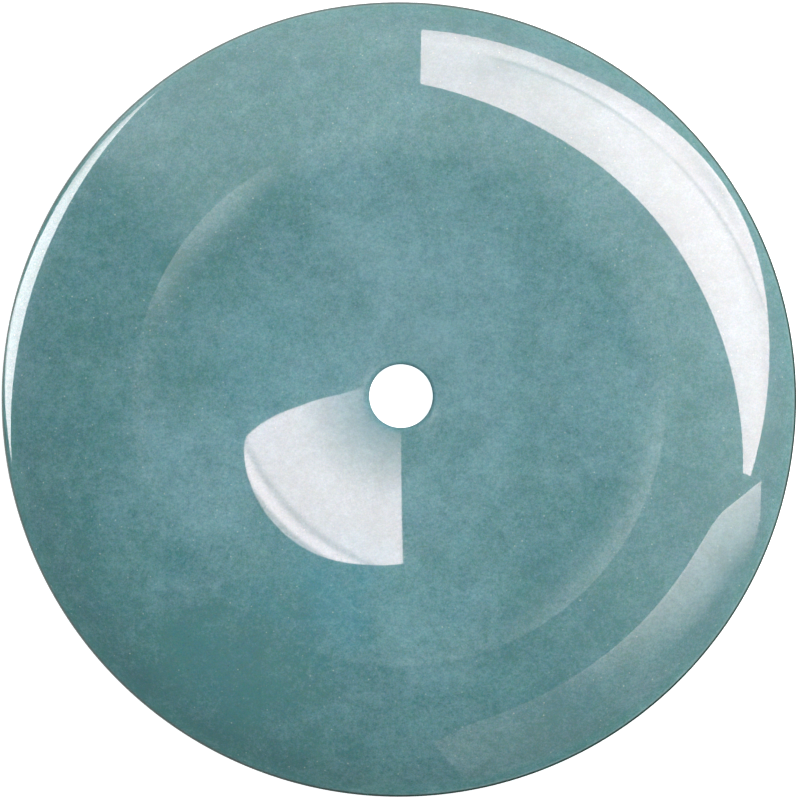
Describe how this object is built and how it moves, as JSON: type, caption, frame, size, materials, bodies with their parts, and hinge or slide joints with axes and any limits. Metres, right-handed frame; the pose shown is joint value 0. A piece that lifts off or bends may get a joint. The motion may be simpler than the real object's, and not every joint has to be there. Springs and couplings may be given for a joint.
{
  "type": "jade disc pendant",
  "caption": "Round polished jade disc pendant with a rounded shoulder, a shallow dished face and a small cord hole through the middle.",
  "frame": {"origin": "under the middle of the disc, on the surface that it lies on", "axes": "+Z out of the dished front face, along the axis that the disc is turned about; +Y towards the top of the picture"},
  "size_m": [0.05, 0.05, 0.0064],
  "materials": {
    "jade": "polished, slightly translucent"
  },
  "bodies": {
    "root": {"jade_disc": "jade"}
  },
  "joints": []
}
